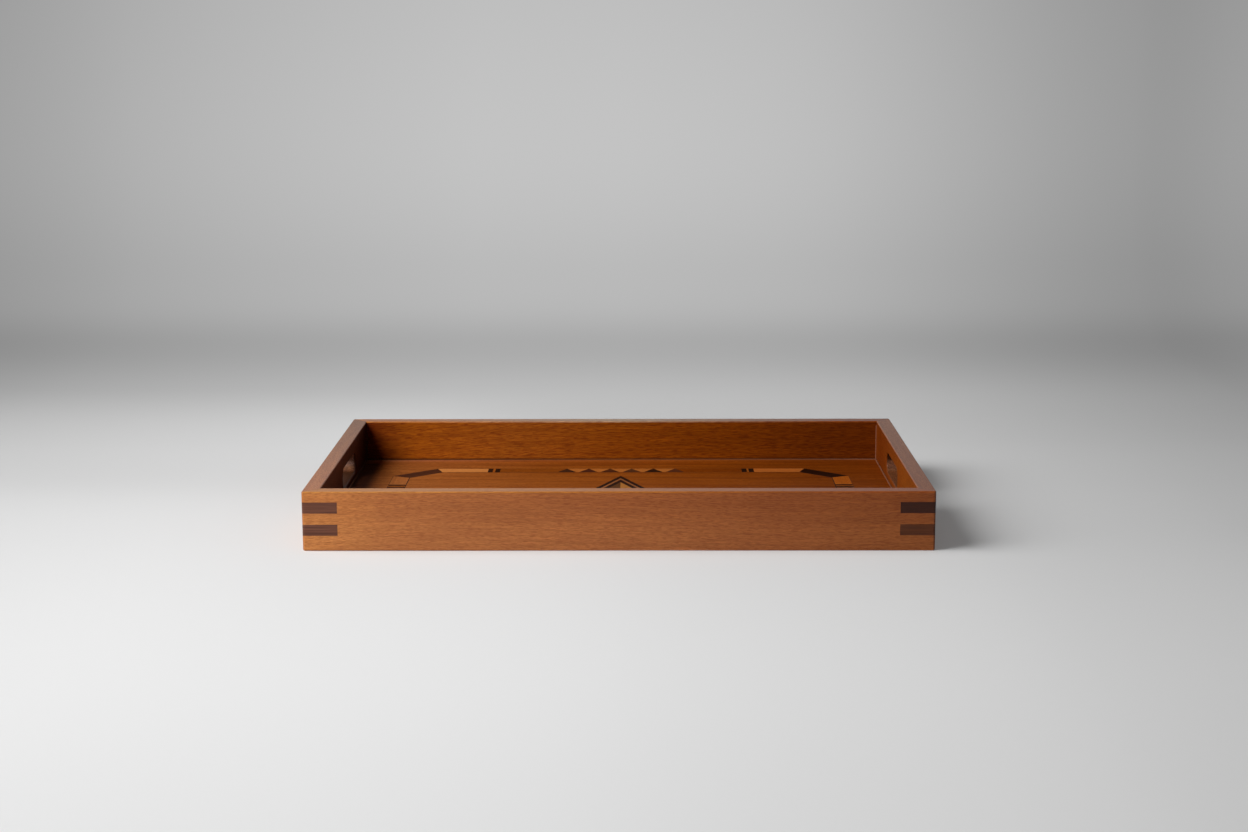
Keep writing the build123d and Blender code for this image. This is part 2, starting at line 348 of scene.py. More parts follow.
def tint_cheeks(tree, colour, wall_name, past_x, y, z):
    """A wall's colour with the cheeks of its hand slot tinted. They lie between the two faces of an
    end wall, are speckled, carry painted shade and painted highlight that change with their height
    and can take painted shade towards one end."""
    cheek = 1.0
    distances = (
        (past_x, wall_thickness / 2, wall_thickness / 2 - cheek_inset),
        (y, slot_middle.y, slot_reach.y),
        (z, slot_middle.z, slot_reach.z),
    )
    for value, middle, reach in distances:
        away = work_out(tree, "ABSOLUTE", work_out(tree, "SUBTRACT", value, middle))
        near = rescale(tree, away, reach, reach + cheek_fade, 1.0, 0.0)
        cheek = work_out(tree, "MULTIPLY", cheek, near)
    slot_low, slot_high = slot_middle.z - slot_reach.z, slot_middle.z + slot_reach.z
    # Painted shade and painted highlight on the cheeks, by height
    cheek_colour = colour_ramp(tree, z, slot_low, slot_high, cheek_light_stops[wall_name])
    where = tree.nodes["Texture Coordinate"].outputs["Object"]
    grit = noise(tree, where, detail=3.0, scale=speckle_rate)
    speckle = work_out(tree, "ADD", about_middle(tree, grit, speckle_swing), 1.0)
    speckled = mix_colours(tree, 1.0, cheek_colour, speckle, blend="MULTIPLY")
    colour = mix_colours(tree, cheek, colour, speckled, blend="MULTIPLY")
    # Painted shade darkens the cheek towards one end of the slot
    if wall_name in cheek_shade_ends:
        dark_end = rescale(tree, y, *cheek_shade_ends[wall_name], 1.0, 0.0)
        dark_end = work_out(tree, "MULTIPLY", cheek, dark_end)
        colour = mix_colours(tree, dark_end, colour, cheek_end_shade_tint, blend="MULTIPLY")
    return colour


def tint_wall(material, wall_name, runs_along):
    """Tint a wall: its outer face, its rim and its inner face, with painted light and shade that
    change along the wall, the cheeks of its hand slot, the foot of its inner face and its mitres."""
    tree = material.node_tree
    x, y, z = split_place(tree)
    past_x = work_out(tree, "SUBTRACT", work_out(tree, "ABSOLUTE", x), inner_reach.x)
    past_y = work_out(tree, "SUBTRACT", work_out(tree, "ABSOLUTE", y), inner_reach.y)
    run = (x, tray_low.x, tray_high.x) if runs_along == "X" else (y, tray_low.y, tray_high.y)
    inside = rescale(tree, work_out(tree, "MAXIMUM", past_x, past_y), face_start, face_end, 1.0, 0.0)
    below_rim = rescale(tree, z, rim_start, rim_end, 1.0, 0.0)
    inside = work_out(tree, "MULTIPLY", inside, below_rim)
    # Painted bounce light: the outer faces are paler low down, more so towards the right
    paler = rescale(tree, z, 0.0, tray_high.z, 1.0, 0.0)
    paler_here = rescale(tree, x, tray_low.x, tray_high.x, paler_left, paler_right)
    paler = work_out(tree, "MULTIPLY", paler, paler_here)
    # Painted shade: the outer faces darken from left to right as the light falls off
    outside = colour_ramp(tree, x, tray_low.x, tray_high.x, outside_shade_stops)
    outside = mix_colours(tree, paler, outside, bounce_light_tint, blend="MULTIPLY")
    # Painted shade and a painted reflection of the backdrop on the rim, along the wall
    colour = mix_colours(tree, below_rim, colour_ramp(tree, *run, rim_light_stops[wall_name]), outside)
    # Painted shade on the inner face, along the wall
    colour = mix_colours(tree, inside, colour, colour_ramp(tree, *run, inside_shade_stops[wall_name]))
    sheen = rescale(tree, z, rim_start, rim_end, varnish_weight, rim_varnish[wall_name])
    thinner = work_out(tree, "MULTIPLY", inside, varnish_weight - inside_varnish)
    sheen = work_out(tree, "SUBTRACT", sheen, thinner)
    tree.links.new(sheen, tree.nodes["Principled BSDF"].inputs["Coat Weight"])
    # Painted shade: a dark line along the foot of the inner faces, where they meet the floor
    foot = work_out(tree, "MULTIPLY", rescale(tree, z, foot_start, foot_end, 1.0, 0.0), inside)
    colour = mix_colours(tree, foot, colour, foot_shade_tint, blend="MULTIPLY")
    if wall_name in cheek_light_stops:
        colour = tint_cheeks(tree, colour, wall_name, past_x, y, z)
    # A hair of glue shows along each mitre
    off_mitre = work_out(tree, "ABSOLUTE", work_out(tree, "SUBTRACT", past_x, past_y))
    glue = rescale(tree, off_mitre, glue_reach / 2, glue_reach, 1.0, 0.0)
    tint(material, mix_colours(tree, glue, colour, glue_tint, blend="MULTIPLY"))


wall_thickness = 0.0132
inner_reach = tray_high - Vector((wall_thickness, wall_thickness, 0))
# Painted shade on the outer faces, darker towards the right
outside_shade_stops = (
    (0.03, (0.94, 0.945, 0.86, 1)),
    (0.13, (0.80, 0.75, 0.725, 1)),
    (0.5, (0.755, 0.63, 0.56, 1)),
    (0.75, (0.65, 0.485, 0.385, 1)),
    (0.95, (0.61, 0.44, 0.315, 1)),
)
# The tint of the painted bounce light low on the outer faces
bounce_light_tint = (1.25, 1.45, 1.7, 1)
paler_left, paler_right = 0.3, 1.0
inside_varnish = 0.12
# Painted shade on the inner faces: near black on the left end and at the back wall's left, in the left
# end's shadow, and darker towards the right
inside_shade_stops = {
    "front_wall": ((0.0, (0.57, 0.37, 0.12, 1)), (1.0, (0.57, 0.37, 0.12, 1))),
    "back_wall": (
        (0.03, (0.25, 0.09, 0.012, 1)),
        (0.12, (0.66, 0.46, 0.07, 1)),
        (0.30, (0.68, 0.51, 0.145, 1)),
        (0.50, (0.60, 0.40, 0.055, 1)),
        (0.70, (0.49, 0.30, 0.021, 1)),
        (0.88, (0.37, 0.205, 0.0185, 1)),
    ),
    "left_end": ((0.3, (0.11, 0.024, 0.0, 1)), (0.9, (0.031, 0.011, 0.006, 1))),
    "right_end": (
        (0.3, (0.58, 0.415, 0.135, 1)),
        (0.85, (0.44, 0.232, 0.05, 1)),
        (0.95, (0.51, 0.31, 0.06, 1)),
    ),
}
rim_varnish = {"front_wall": 0.45, "back_wall": 0.45, "left_end": 0.45, "right_end": 0.33}
# Painted shade along the rims, and a painted reflection of the backdrop, greyest in the back rim's
# middle
rim_light_stops = {
    "front_wall": (
        (0.1, (0.93, 1.0, 0.72, 1)),
        (0.5, (0.99, 0.88, 0.36, 1)),
        (0.9, (0.76, 0.46, 0.13, 1)),
    ),
    "back_wall": (
        (0.1, (1.18, 1.12, 0.76, 1)),
        (0.5, (1.19, 2.0, 3.8, 1)),
        (0.9, (0.70, 0.41, 0.06, 1)),
    ),
    "left_end": ((0.1, (0.79, 0.77, 0.85, 1)), (0.9, (0.58, 0.57, 0.52, 1))),
    "right_end": ((0.1, (0.68, 0.60, 0.70, 1)), (0.9, (0.86, 0.9, 1.3, 1))),
}
face_start, face_end = 0.0004, 0.0016
rim_start, rim_end = tray_high.z - 0.0016, tray_high.z - 0.0006
floor_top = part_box("outer_field")[1].z
foot_start, foot_end = floor_top + 0.0009, floor_top + 0.0024
# Painted shade at the foot of the inner faces
foot_shade_tint = (0.62, 0.6, 0.6, 1)
slot_middle = Vector((0, 0.024, 0.0264))
slot_reach = Vector((0, 0.0405, 0.009))
cheek_inset = 0.0012
cheek_fade = 0.001
# Painted shade and painted highlight on the hand slots' cheeks: near black low on the left slot and
# dark at the right slot's top
cheek_light_stops = {
    "left_end": (
        (0.0, (0.06, 0.05, 0.06, 1)),
        (0.06, (0.175, 0.166, 0.24, 1)),
        (0.11, (0.25, 0.26, 0.46, 1)),
        (0.26, (0.37, 0.43, 0.74, 1)),
        (0.41, (0.37, 0.525, 1.41, 1)),
        (0.56, (0.34, 0.43, 1.0, 1)),
    ),
    "right_end": (
        (0.0, (0.68, 0.74, 0.90, 1)),
        (0.1, (0.68, 0.92, 1.8, 1)),
        (0.25, (0.63, 0.88, 2.0, 1)),
        (0.5, (0.54, 0.77, 1.6, 1)),
        (0.62, (0.16, 0.17, 0.26, 1)),
    ),
}
speckle_rate = 800.0
speckle_swing = 2.6
# Painted shade at the near end of the left slot's cheeks
cheek_end_shade_tint = (0.2, 0.16, 0.14, 1)
cheek_shade_ends = {"left_end": (0.0, 0.008)}
glue_reach = 0.0003
glue_tint = (0.45, 0.4, 0.36, 1)
wall_wood = {
    "early_wood": (0.64, 0.235, 0.068, 1),
    "late_wood": (0.42, 0.132, 0.040, 1),
    "pore": (0.30, 0.075, 0.022, 1),
    "rings_per_metre": 480.0,
    "wander": 0.009,
    "sway": 0.0028,
    "figure": 0.52,
    "fibre": 0.34,
    "pores": 0.48,
    "mottle": 0.05,
    "satin": 0.42,
}
wall_cuts = {
    "front_wall": (0.0, (sway_length, 0.20, 0.06)),
    "back_wall": (0.0, (1.70, 0.03, 0.09)),
    "left_end": (pi / 2, (0.60, 0.10, 0.08)),
    "right_end": (pi / 2, (2.40, 0.12, 0.07)),
}
wall_marks = {
    "front_wall": {"squash": (0.8, 1.1, 1.1)},
    "back_wall": {"fibre": 0.55, "pores": 0.8, "squash": (0.5, 1.25, 1.25), "rise": 0.08},
}
for wall_name, (grain_turn, log_place) in wall_cuts.items():
    marks = {**wall_wood, **wall_marks.get(wall_name, {})}
    wood = finish_wood(f"{wall_name}_wood", grain_turn, log_place, **marks)
    tint_wall(wood, wall_name, "X" if grain_turn == 0 else "Y")
    dress(wall_name, wood)


# Two keys of dark walnut are glued into slots sawn across each mitred corner and planed flush with
# the walls. Their grain runs square across the mitre, so level lines show on both faces.
key_wood = {
    "early_wood": (0.168, 0.062, 0.036, 1),
    "late_wood": (0.102, 0.036, 0.021, 1),
    "pore": (0.02, 0.01, 0.008, 1),
    "rings_per_metre": 700.0,
    "wander": 0.02,
    "figure": 0.6,
    "fibre": 0.3,
    "pores": 0.35,
    "mottle": 0.12,
}
key_corners = ("front_left", "front_right", "back_right", "back_left")
key_squash = (0.15, 0.15, 1)
key_start = Vector((0, 0.03, 0.02))
key_corner_step = Vector((0.4, 0.011, 0))
key_level_step = Vector((0.13, 0, 0.017))
key_tints = {
    "front_right_upper_key": (0.39, 0.255, 0.175, 1),
    "front_right_lower_key": (0.85, 0.64, 0.34, 1),
}
for number, corner_name in enumerate(key_corners):
    for level, level_name in enumerate(("lower", "upper")):
        key_name = f"{corner_name}_{level_name}_key"
        log_place = key_start + number * key_corner_step + level * key_level_step
        walnut = finish_wood(f"{key_name}_walnut", 0, log_place, key_squash, **key_wood)
        if key_name in key_tints:
            tint(walnut, key_tints[key_name])
        dress(key_name, walnut)


# The floor panel is a plywood core with a plain backing veneer under it, slid into the groove.
# Only the backing shows, from below.
core_wood = {
    "early_wood": (0.55, 0.38, 0.22, 1),
    "late_wood": (0.42, 0.27, 0.14, 1),
    "figure": 0.5,
    "pores": 0.2,
}
backing_wood = {
    "early_wood": (0.42, 0.19, 0.08, 1),
    "late_wood": (0.30, 0.12, 0.045, 1),
    "pore": (0.12, 0.05, 0.02, 1),
    "rings_per_metre": 200.0,
    "wander": 0.06,
    "figure": 0.7,
    "satin": 0.55,
}
core_place = (0.0, 0.05, 0.04)
backing_place = (0.8, 0.06, 0.05)
dress("floor_core", finish_wood("core_plywood", 0, core_place, **core_wood))
dress("backing_veneer", finish_wood("backing_veneer", 0, backing_place, **backing_wood))


# The two field veneers, one between the walls and the band and one inside the band, are cut from
# the same warm brown leaf with its grain along the tray.
floor_polish = {"varnish": 0.012, "shine": 0.01}
field_wood = {
    "early_wood": (0.56, 0.15, 0.015, 1),
    "late_wood": (0.36, 0.084, 0.008, 1),
    "pore": (0.22, 0.05, 0.006, 1),
    "rings_per_metre": 110.0,
    "wander": 0.04,
    "figure": 0.85,
    "fibre": 0.14,
    "pores": 0.5,
    "mottle": 0.15,
    **floor_polish,
}
field_cuts = {"outer_field": (0.2, 0.25, 0.10), "centre_field": (3.1, 0.31, 0.08)}
# Painted light across the floors: paler on the left, where the light is strong, and darker towards the
# right, where it falls off
field_light_stops = (
    (0.1, (1.10, 1.27, 2.7, 1)),
    (0.35, (1.0, 0.98, 1.2, 1)),
    (0.65, (0.96, 0.84, 0.60, 1)),
    (0.85, (0.77, 0.63, 0.42, 1)),
)
# Painted shadow of the left wall on the floor
wall_shadow_tint = (0.6, 0.55, 0.62, 1)
wall_shadow_start, wall_shadow_end = inner_reach.x - 0.034, inner_reach.x - 0.006
# Painted shadow beside the left slot, over the light that comes through it
slot_shadow_tint = (0.18, 0.16, 0.22, 1)
slot_shadow_start, slot_shadow_end = inner_reach.x - 0.021, inner_reach.x - 0.011
slot_shadow_low, slot_shadow_high, slot_shadow_fade = 0.0, 0.12, 0.015
back_strip_tint = (1.12, 1.25, 2.2, 1)
back_strip_start, back_strip_end = inner_reach.y - 0.013, inner_reach.y - 0.003
for field_name, log_place in field_cuts.items():
    veneer = finish_wood(f"{field_name}_veneer", 0, log_place, **field_wood)
    tree = veneer.node_tree
    x, y, _ = split_place(tree)
    colour = colour_ramp(tree, x, tray_low.x, tray_high.x, field_light_stops)
    # Painted shadow of the left wall darkens the floor beside it
    wall_shadow = rescale(tree, x, -wall_shadow_end, -wall_shadow_start, 1.0, 0.0)
    colour = mix_colours(tree, wall_shadow, colour, wall_shadow_tint, blend="MULTIPLY")
    # Painted shadow, darker still, beside the left slot, over the light that comes through it
    slot_shadow = rescale(tree, x, -slot_shadow_end, -slot_shadow_start, 1.0, 0.0)
    from_front = rescale(tree, y, slot_shadow_low - slot_shadow_fade, slot_shadow_low)
    to_back = rescale(tree, y, slot_shadow_high, slot_shadow_high + slot_shadow_fade, 1.0, 0.0)
    slot_shadow = work_out(tree, "MULTIPLY", slot_shadow, work_out(tree, "MULTIPLY", from_front, to_back))
    colour = mix_colours(tree, slot_shadow, colour, slot_shadow_tint, blend="MULTIPLY")
    # The strip along the back wall is made paler and less orange
    back_strip = rescale(tree, y, back_strip_start, back_strip_end)
    tint(veneer, mix_colours(tree, back_strip, colour, back_strip_tint, blend="MULTIPLY"))
    dress(field_name, veneer)


# Two fine dark lines edge the band, the outer one finer and browner. Each is eight strips mitred
# at the corners. The grain runs along the long and the short sides, and lies one way in all four
# corner strips.
line_wood = {
    "early_wood": (0.085, 0.034, 0.02, 1),
    "late_wood": (0.05, 0.02, 0.012, 1),
    "pore": (0.02, 0.01, 0.006, 1),
    "figure": 0.5,
    "pores": 0.2,
    **floor_polish,
}
outer_line_tint = (2.2, 1.9, 1.2, 1)
line_place = (0.1, 0.02, 0.03)
line_grain = {"long_sides": 0.0, "short_sides": pi / 2, "corners": radians(39)}
for line_name in ("outer_line", "inner_line"):
    for side_name, grain_turn in line_grain.items():
        piece_name = f"{line_name}_{side_name}"
        veneer = finish_wood(f"{piece_name}_veneer", grain_turn, line_place, **line_wood)
        if line_name == "outer_line":
            tint(veneer, outer_line_tint)
        dress(piece_name, veneer)


# The band is laid from short pieces end to end: light strips and blocks, dark corner pieces and
# plain brown strips, each with its grain along its own side of the band.
light_wood = {
    "early_wood": (0.98, 0.36, 0.09, 1),
    "late_wood": (0.82, 0.26, 0.055, 1),
    "pore": (0.45, 0.16, 0.04, 1),
    "rings_per_metre": 420.0,
    "wander": 0.02,
    "figure": 0.7,
    "fibre": 0.12,
    "pores": 0.3,
    "mottle": 0.08,
    **floor_polish,
}
dark_wood = {
    "early_wood": (0.12, 0.037, 0.016, 1),
    "late_wood": (0.072, 0.021, 0.0095, 1),
    "pore": (0.02, 0.008, 0.005, 1),
    "rings_per_metre": 500.0,
    "wander": 0.02,
    "figure": 0.6,
    "fibre": 0.2,
    "pores": 0.3,
    "mottle": 0.1,
    **floor_polish,
}
plain_wood = {
    "early_wood": (0.44, 0.105, 0.0095, 1),
    "late_wood": (0.31, 0.064, 0.0057, 1),
    "pore": (0.08, 0.02, 0.003, 1),
    "rings_per_metre": 420.0,
    "wander": 0.02,
    "figure": 0.6,
    "fibre": 0.14,
    "pores": 0.4,
    "mottle": 0.08,
    **floor_polish,
}
band_slant = radians(39.4)
quarters = {
    "back_right": -band_slant,
    "back_left": band_slant,
    "front_left": -band_slant,
    "front_right": band_slant,
}
# Painted shade: the pieces on the right are darker where the light falls off
right_shade_tints = {
    "plain_strip": (0.9, 0.75, 0.4, 1),
    "light_strip": (0.93, 0.72, 0.5, 1),
    "dark_diagonal": (0.29, 0.23, 0.17, 1),
    "light_block": (0.78, 0.53, 0.19, 1),
}
# Painted shade on the left light blocks, which lie in the left end's shadow
left_block_shade_tint = (0.66, 0.585, 0.60, 1)
quarter_start = Vector((0, 0.10, 0.05))
quarter_step = Vector((0.7, 0.031, 0.013))
for number, (quarter_name, slant) in enumerate(quarters.items()):
    log_place = quarter_start + number * quarter_step
    cuts = {
        "plain_strip": (0.0, plain_wood),
        "light_strip": (0.0, light_wood),
        "dark_diagonal": (slant, dark_wood),
        "light_block": (pi / 2, light_wood),
    }
    for kind, (grain_turn, wood) in cuts.items():
        piece_name = f"{kind}_{quarter_name}"
        veneer = finish_wood(f"{piece_name}_veneer", grain_turn, log_place, **wood)
        if quarter_name.endswith("right"):
            tint(veneer, right_shade_tints[kind])
        elif kind == "light_block":
            tint(veneer, left_block_shade_tint)
        dress(piece_name, veneer)
side_strip_cuts = {"right": (1.3, 0.12, 0.05), "left": (2.2, 0.15, 0.06)}
for side_name, log_place in side_strip_cuts.items():
    piece_name = f"plain_strip_{side_name}"
    dress(piece_name, finish_wood(f"{piece_name}_veneer", pi / 2, log_place, **plain_wood))


# Pairs of near-black bars with a brown slip between them close each plain strip. They lie across
# the band, with the grain along each bar.
bar_wood = {
    "early_wood": (0.036, 0.012, 0.005, 1),
    "late_wood": (0.02, 0.007, 0.003, 1),
    "pore": (0.008, 0.004, 0.002, 1),
    "rings_per_metre": 900.0,
    "figure": 0.6,
    "fibre": 0.3,
    "pores": 0.3,
    **floor_polish,
}
slip_tint = (1.5, 1.6, 1.8, 1)
bar_place = (0.2, 0.03, 0.02)
slip_place = (0.9, 0.13, 0.06)
bar_grain = {"long_side": pi / 2, "short_side": 0.0}
for side_name, grain_turn in bar_grain.items():
    bars = finish_wood(f"{side_name}_bar_veneer", grain_turn, bar_place, **bar_wood)
    slips = finish_wood(f"{side_name}_slip_veneer", grain_turn, slip_place, **plain_wood)
    tint(slips, slip_tint)
    dress(f"{side_name}_bars", bars)
    dress(f"{side_name}_slips", slips)


# The sawtooth: dark teeth sawn from offcuts of several dark woods, each its own brown, with light
# orange wood let in between.
teeth_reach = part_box("dark_teeth_back")[1].x
tooth_tints = (
    (0.8, 0.85, 0.8, 1),
    (1.15, 0.95, 0.9, 1),
    (1.2, 1.0, 0.7, 1),
    (1.5, 1.5, 1.1, 1),
    (0.4, 0.45, 0.4, 1),
    (1.6, 1.4, 1.1, 1),
)
light_tooth_tint = (0.82, 0.70, 0.52, 1)
teeth_cuts = {
    "back": ((0.0, 0.05, 0.04), (0.8, 0.14, 0.05)),
    "front": ((0.5, 0.05, 0.04), (1.8, 0.14, 0.05)),
}
tooth_stops = [(tooth / len(tooth_tints), colour) for tooth, colour in enumerate(tooth_tints)]
for side_name, (dark_place, light_place) in teeth_cuts.items():
    dark_teeth = finish_wood(f"dark_teeth_{side_name}_veneer", 0, dark_place, **dark_wood)
    tree = dark_teeth.node_tree
    x = split_place(tree)["X"]
    tint(dark_teeth, colour_ramp(tree, x, -teeth_reach, teeth_reach, tooth_stops, "CONSTANT"))
    light_teeth = finish_wood(f"light_teeth_{side_name}_veneer", 0, light_place, **light_wood)
    tint(light_teeth, light_tooth_tint)
    dress(f"dark_teeth_{side_name}", dark_teeth)
    dress(f"light_teeth_{side_name}", light_teeth)


# The lozenge: a near-black border, a fine light line and a near-black inner line, each of four
# mitred strips with the grain along them, round a heart of two dark and two gold quarters.
pale_line_wood = {
    "early_wood": (0.48, 0.16, 0.05, 1),
    "late_wood": (0.38, 0.12, 0.035, 1),
    "pore": (0.2, 0.06, 0.015, 1),
    "figure": 0.5,
    "pores": 0.2,
    **floor_polish,
}
dark_heart_wood = {
    "early_wood": (0.21, 0.075, 0.022, 1),
    "late_wood": (0.13, 0.044, 0.013, 1),
    "pore": (0.03, 0.012, 0.005, 1),
    "rings_per_metre": 600.0,
    "wander": 0.02,
    "figure": 0.7,
    "fibre": 0.3,
    "pores": 0.4,
    "mottle": 0.2,
    **floor_polish,
}
gold_heart_wood = {
    "early_wood": (0.74, 0.285, 0.06, 1),
    "late_wood": (0.56, 0.19, 0.035, 1),
    "pore": (0.3, 0.1, 0.02, 1),
    "rings_per_metre": 350.0,
    "wander": 0.02,
    "figure": 0.6,
    "fibre": 0.1,
    "pores": 0.2,
    "mottle": 0.08,
    **floor_polish,
}
heart_low, heart_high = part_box("lozenge_heart_back_right")
lozenge_slant = atan2(heart_high.y - heart_low.y, heart_high.x - heart_low.x)
lozenge_lines = {
    "lozenge_border": bar_wood,
    "lozenge_light_line": pale_line_wood,
    "lozenge_inner_line": bar_wood,
}
lozenge_ways = {"falling": -lozenge_slant, "rising": lozenge_slant}
lozenge_place = (0.3, 0.06, 0.04)
for way_name, grain_turn in lozenge_ways.items():
    for line_name, wood in lozenge_lines.items():
        piece_name = f"{line_name}_{way_name}"
        veneer = finish_wood(f"{piece_name}_veneer", grain_turn, lozenge_place, **wood)
        dress(piece_name, veneer)
heart_cuts = {
    "back_right": (lozenge_slant, gold_heart_wood),
    "back_left": (-lozenge_slant, dark_heart_wood),
    "front_left": (lozenge_slant, gold_heart_wood),
    "front_right": (-lozenge_slant, dark_heart_wood),
}
heart_start = Vector((0, 0.08, 0.05))
heart_step = Vector((0.6, 0.02, 0))
for number, (quarter_name, (grain_turn, wood)) in enumerate(heart_cuts.items()):
    piece_name = f"lozenge_heart_{quarter_name}"
    log_place = heart_start + number * heart_step
    dress(piece_name, finish_wood(f"{piece_name}_veneer", grain_turn, log_place, **wood))


# A bead of varnish has pooled along the foot of the walls and up the four inner corners. It is a
# thin fillet with a hollow face, dark brown along most of its way and clouded, with painted shade
# that turns it near black at the left end and a painted highlight that turns it paler towards the
# right.
def build_bead_tree():
    """A fillet along a rectangle's four sides, and one up each of its corners."""
    tree, given, put_out = open_group(
        "varnish_bead",
        {
            "Length": ("NodeSocketFloat", 1.0),
            "Width": ("NodeSocketFloat", 1.0),
            "Height": ("NodeSocketFloat", 0.01),
            "Bead": ("NodeSocketFloat", 0.001),
            "Corner Bead": ("NodeSocketFloat", 0.001),
            "Finish": ("NodeSocketMaterial", None),
        },
        {"Geometry": "NodeSocketGeometry"},
        tree_kind="GeometryNodeTree",
    )
    link = tree.links.new

    def section(size):
        """The hollow fillet: a corner, its two feet and a point drawn in between them."""
        outline = tree.nodes.new("GeometryNodeCurvePrimitiveQuadrilateral")
        outline.mode = "POINTS"
        shares = ((0, 0), (-1, 0), (-hollow_share, -hollow_share), (0, -1))
        for number, (x_share, y_share) in enumerate(shares, 1):
            point = tree.nodes.new("ShaderNodeCombineXYZ")
            for axis_name, share in (("X", x_share), ("Y", y_share)):
                link(work_out(tree, "MULTIPLY", size, share), point.inputs[axis_name])
            link(point.outputs[0], outline.inputs[f"Point {number}"])
        return outline.outputs["Curve"]

    loop = tree.nodes.new("GeometryNodeCurvePrimitiveQuadrilateral")
    link(given["Length"], loop.inputs["Width"])
    link(given["Width"], loop.inputs["Height"])
    # A mitred corner needs a section drawn out along the mitre
    mitred = tree.nodes.new("GeometryNodeTransform")
    link(section(given["Bead"]), mitred.inputs["Geometry"])
    mitred.inputs["Scale"].default_value = (sqrt(2), 1, 1)
    foot = tree.nodes.new("GeometryNodeCurveToMesh")
    link(loop.outputs["Curve"], foot.inputs["Curve"])
    link(mitred.outputs["Geometry"], foot.inputs["Profile Curve"])

    upright = tree.nodes.new("GeometryNodeCurvePrimitiveLine")
    top = tree.nodes.new("ShaderNodeCombineXYZ")
    link(given["Height"], top.inputs["Z"])
    link(top.outputs[0], upright.inputs["End"])
    corner = tree.nodes.new("GeometryNodeCurveToMesh")
    corner.inputs["Fill Caps"].default_value = True
    link(upright.outputs["Curve"], corner.inputs["Curve"])
    link(section(given["Corner Bead"]), corner.inputs["Profile Curve"])
    # The rectangle's points are its corners, taken anticlockwise, each a quarter turn on
    corners = tree.nodes.new("GeometryNodeCurveToPoints")
    corners.mode = "EVALUATED"
    link(loop.outputs["Curve"], corners.inputs["Curve"])
    index = tree.nodes.new("GeometryNodeInputIndex")
    turned = tree.nodes.new("ShaderNodeCombineXYZ")
    link(work_out(tree, "MULTIPLY", index.outputs[0], pi / 2), turned.inputs["Z"])
    as_rotation = tree.nodes.new("FunctionNodeEulerToRotation")
    link(turned.outputs[0], as_rotation.inputs[0])
    stand = tree.nodes.new("GeometryNodeInstanceOnPoints")
    link(corners.outputs["Points"], stand.inputs["Points"])
    link(corner.outputs["Mesh"], stand.inputs["Instance"])
    link(as_rotation.outputs[0], stand.inputs["Rotation"])
    together = tree.nodes.new("GeometryNodeJoinGeometry")
    link(foot.outputs["Mesh"], together.inputs[0])
    link(stand.outputs["Instances"], together.inputs[0])
    real = tree.nodes.new("GeometryNodeRealizeInstances")
    link(together.outputs[0], real.inputs[0])
    finish = tree.nodes.new("GeometryNodeSetMaterial")
    link(real.outputs[0], finish.inputs["Geometry"])
    link(given["Finish"], finish.inputs["Material"])
    link(finish.outputs[0], put_out["Geometry"])
    return tree


def finish_varnish_bead():
    """Varnish, brown and clouded, with painted shade on the left and a painted highlight that turns it
    paler towards the right.
    """
    material = bpy.data.materials.new("varnish_bead")
    material.use_nodes = True
    tree = material.node_tree
    shader = tree.nodes["Principled BSDF"]
    where = tree.nodes.new("ShaderNodeTexCoord")
    x = split_place(tree)["X"]
    cloud = noise(tree, stretch(tree, where.outputs["Object"], cloud_rate), detail=3.0)
    colour = colour_ramp(tree, x, tray_low.x, tray_high.x, bead_light_stops)
    colour = mix_colours(tree, work_out(tree, "MULTIPLY", cloud, cloud_share), colour, cloud_colour)
    tree.links.new(colour, shader.inputs["Base Color"])
    bump = tree.nodes.new("ShaderNodeBump")
    bump.inputs["Strength"].default_value = bead_relief
    bump.inputs["Distance"].default_value = bead_waviness
    tree.links.new(cloud, bump.inputs["Height"])
    tree.links.new(bump.outputs["Normal"], shader.inputs["Normal"])
    shader.inputs["Roughness"].default_value = bead_roughness
    shader.inputs["Specular IOR Level"].default_value = bead_shine
    return material


hollow_share = 0.32
bead_size = 0.0009
corner_bead_size = 0.0008
bead_top = tray_high.z - 0.004
bead_waviness = 0.0002
bead_relief = 0.4
bead_roughness = 0.6
bead_shine = 0.06
# Painted shade near black at the left and a painted highlight paler towards the right
bead_light_stops = (
    (0.03, (0.03, 0.01, 0.003, 1)),
    (0.1, (0.13, 0.04, 0.008, 1)),
    (0.6, (0.18, 0.06, 0.018, 1)),
    (0.85, (0.24, 0.085, 0.04, 1)),
    (0.97, (0.36, 0.14, 0.08, 1)),
)
cloud_colour = (0.14, 0.05, 0.025, 1)
cloud_rate = (160.0, 160.0, 400.0)
cloud_share = 0.5

bead_tree = build_bead_tree()
bead_finish = finish_varnish_bead()
seed_mesh = bpy.data.meshes.new("varnish_bead_seed")
bead_maker = bpy.data.objects.new("varnish_bead_maker", seed_mesh)
bpy.context.scene.collection.objects.link(bead_maker)
maker = bead_maker.modifiers.new("varnish_bead", "NODES")
maker.node_group = bead_tree
bead_settings = {
    "Length": 2 * inner_reach.x,
    "Width": 2 * inner_reach.y,
    "Height": bead_top - floor_top,
    "Bead": bead_size,
    "Corner Bead": corner_bead_size,
    "Finish": bead_finish,
}
for item in bead_tree.interface.items_tree:
    if item.in_out == "INPUT":
        maker[item.identifier] = bead_settings[item.name]
bpy.context.view_layer.update()
bead_mesh = bpy.data.meshes.new_from_object(
    bead_maker.evaluated_get(bpy.context.evaluated_depsgraph_get())
)
bead_mesh.name = "varnish_bead"
bead_mesh.transform(Matrix.Translation((0, 0, floor_top)))
bpy.data.objects.remove(bead_maker)
bead = bpy.data.objects.new("varnish_bead", bead_mesh)
bpy.context.scene.collection.objects.link(bead)
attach(bead, "root")


